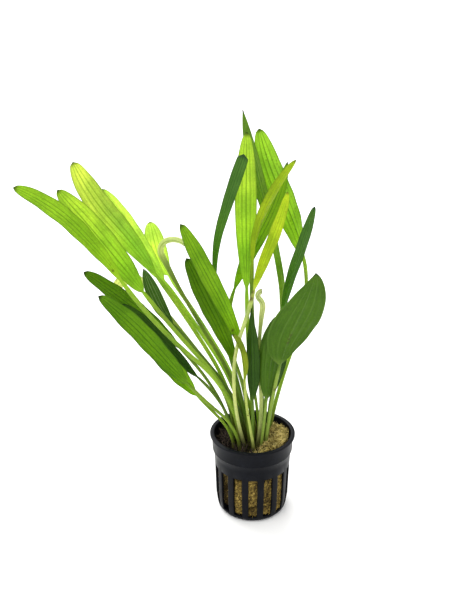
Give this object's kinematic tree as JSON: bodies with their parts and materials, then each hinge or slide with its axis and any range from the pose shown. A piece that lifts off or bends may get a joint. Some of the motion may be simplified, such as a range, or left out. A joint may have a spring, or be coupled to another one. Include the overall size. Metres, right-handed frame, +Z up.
{
  "type": "potted aquarium plant",
  "caption": "Potted sword plant for an aquarium: strap and oval leaves on long stalks rise from rock wool in a black slotted net pot",
  "frame": {"origin": "the middle of the pot's flat base, where it rests", "axes": "+Z up along the pot's axis, +X to the right of the viewer in the picture, +Y away from that viewer; the long leaves lean towards -X"},
  "size_m": [0.1671, 0.0747, 0.2545],
  "materials": {
    "black_plastic": "satin, moulded",
    "rock_wool": "matte, fibrous",
    "rock_wool_torn": "matte, torn fibre",
    "root_fibre": "matte, fibrous",
    "crown": "matte",
    "leaf_lime": "semi-gloss, thin leaf",
    "leaf_bright": "semi-gloss, thin leaf",
    "leaf_green": "semi-gloss, thin leaf",
    "leaf_dark": "semi-gloss, thin leaf",
    "stalk_pale": "semi-gloss"
  },
  "bodies": {
    "root": {"net_pot": "black_plastic", "rock_wool": "rock_wool", "rock_wool_chunk": "rock_wool_torn", "root_mat": "root_fibre", "crown": "crown", "leaf_left_1": "leaf_lime", "leaf_left_2": "leaf_lime", "leaf_left_3": "leaf_lime", "leaf_left_4": "leaf_bright", "leaf_left_5": "leaf_green", "leaf_left_6": "leaf_lime", "stalk_arching": "stalk_pale", "leaf_dark_1": "leaf_dark", "leaf_low_1": "leaf_green", "leaf_dark_2": "leaf_dark", "leaf_low_2": "leaf_green", "leaf_folded_left": "leaf_dark", "leaf_middle_1": "leaf_bright", "leaf_middle_2": "leaf_green", "leaf_middle_3": "leaf_dark", "leaf_top_1": "leaf_green", "leaf_top_2": "leaf_bright", "leaf_top_3": "leaf_green", "leaf_top_4": "leaf_lime", "leaf_top_5": "leaf_dark", "leaf_top_6": "leaf_lime", "stalk_cut": "stalk_pale", "leaf_front_1": "leaf_dark", "leaf_front_2": "leaf_lime", "leaf_right_1": "leaf_dark", "leaf_right_2": "leaf_dark", "leaf_right_3": "leaf_dark", "leaf_right_4": "leaf_dark"}
  },
  "joints": []
}
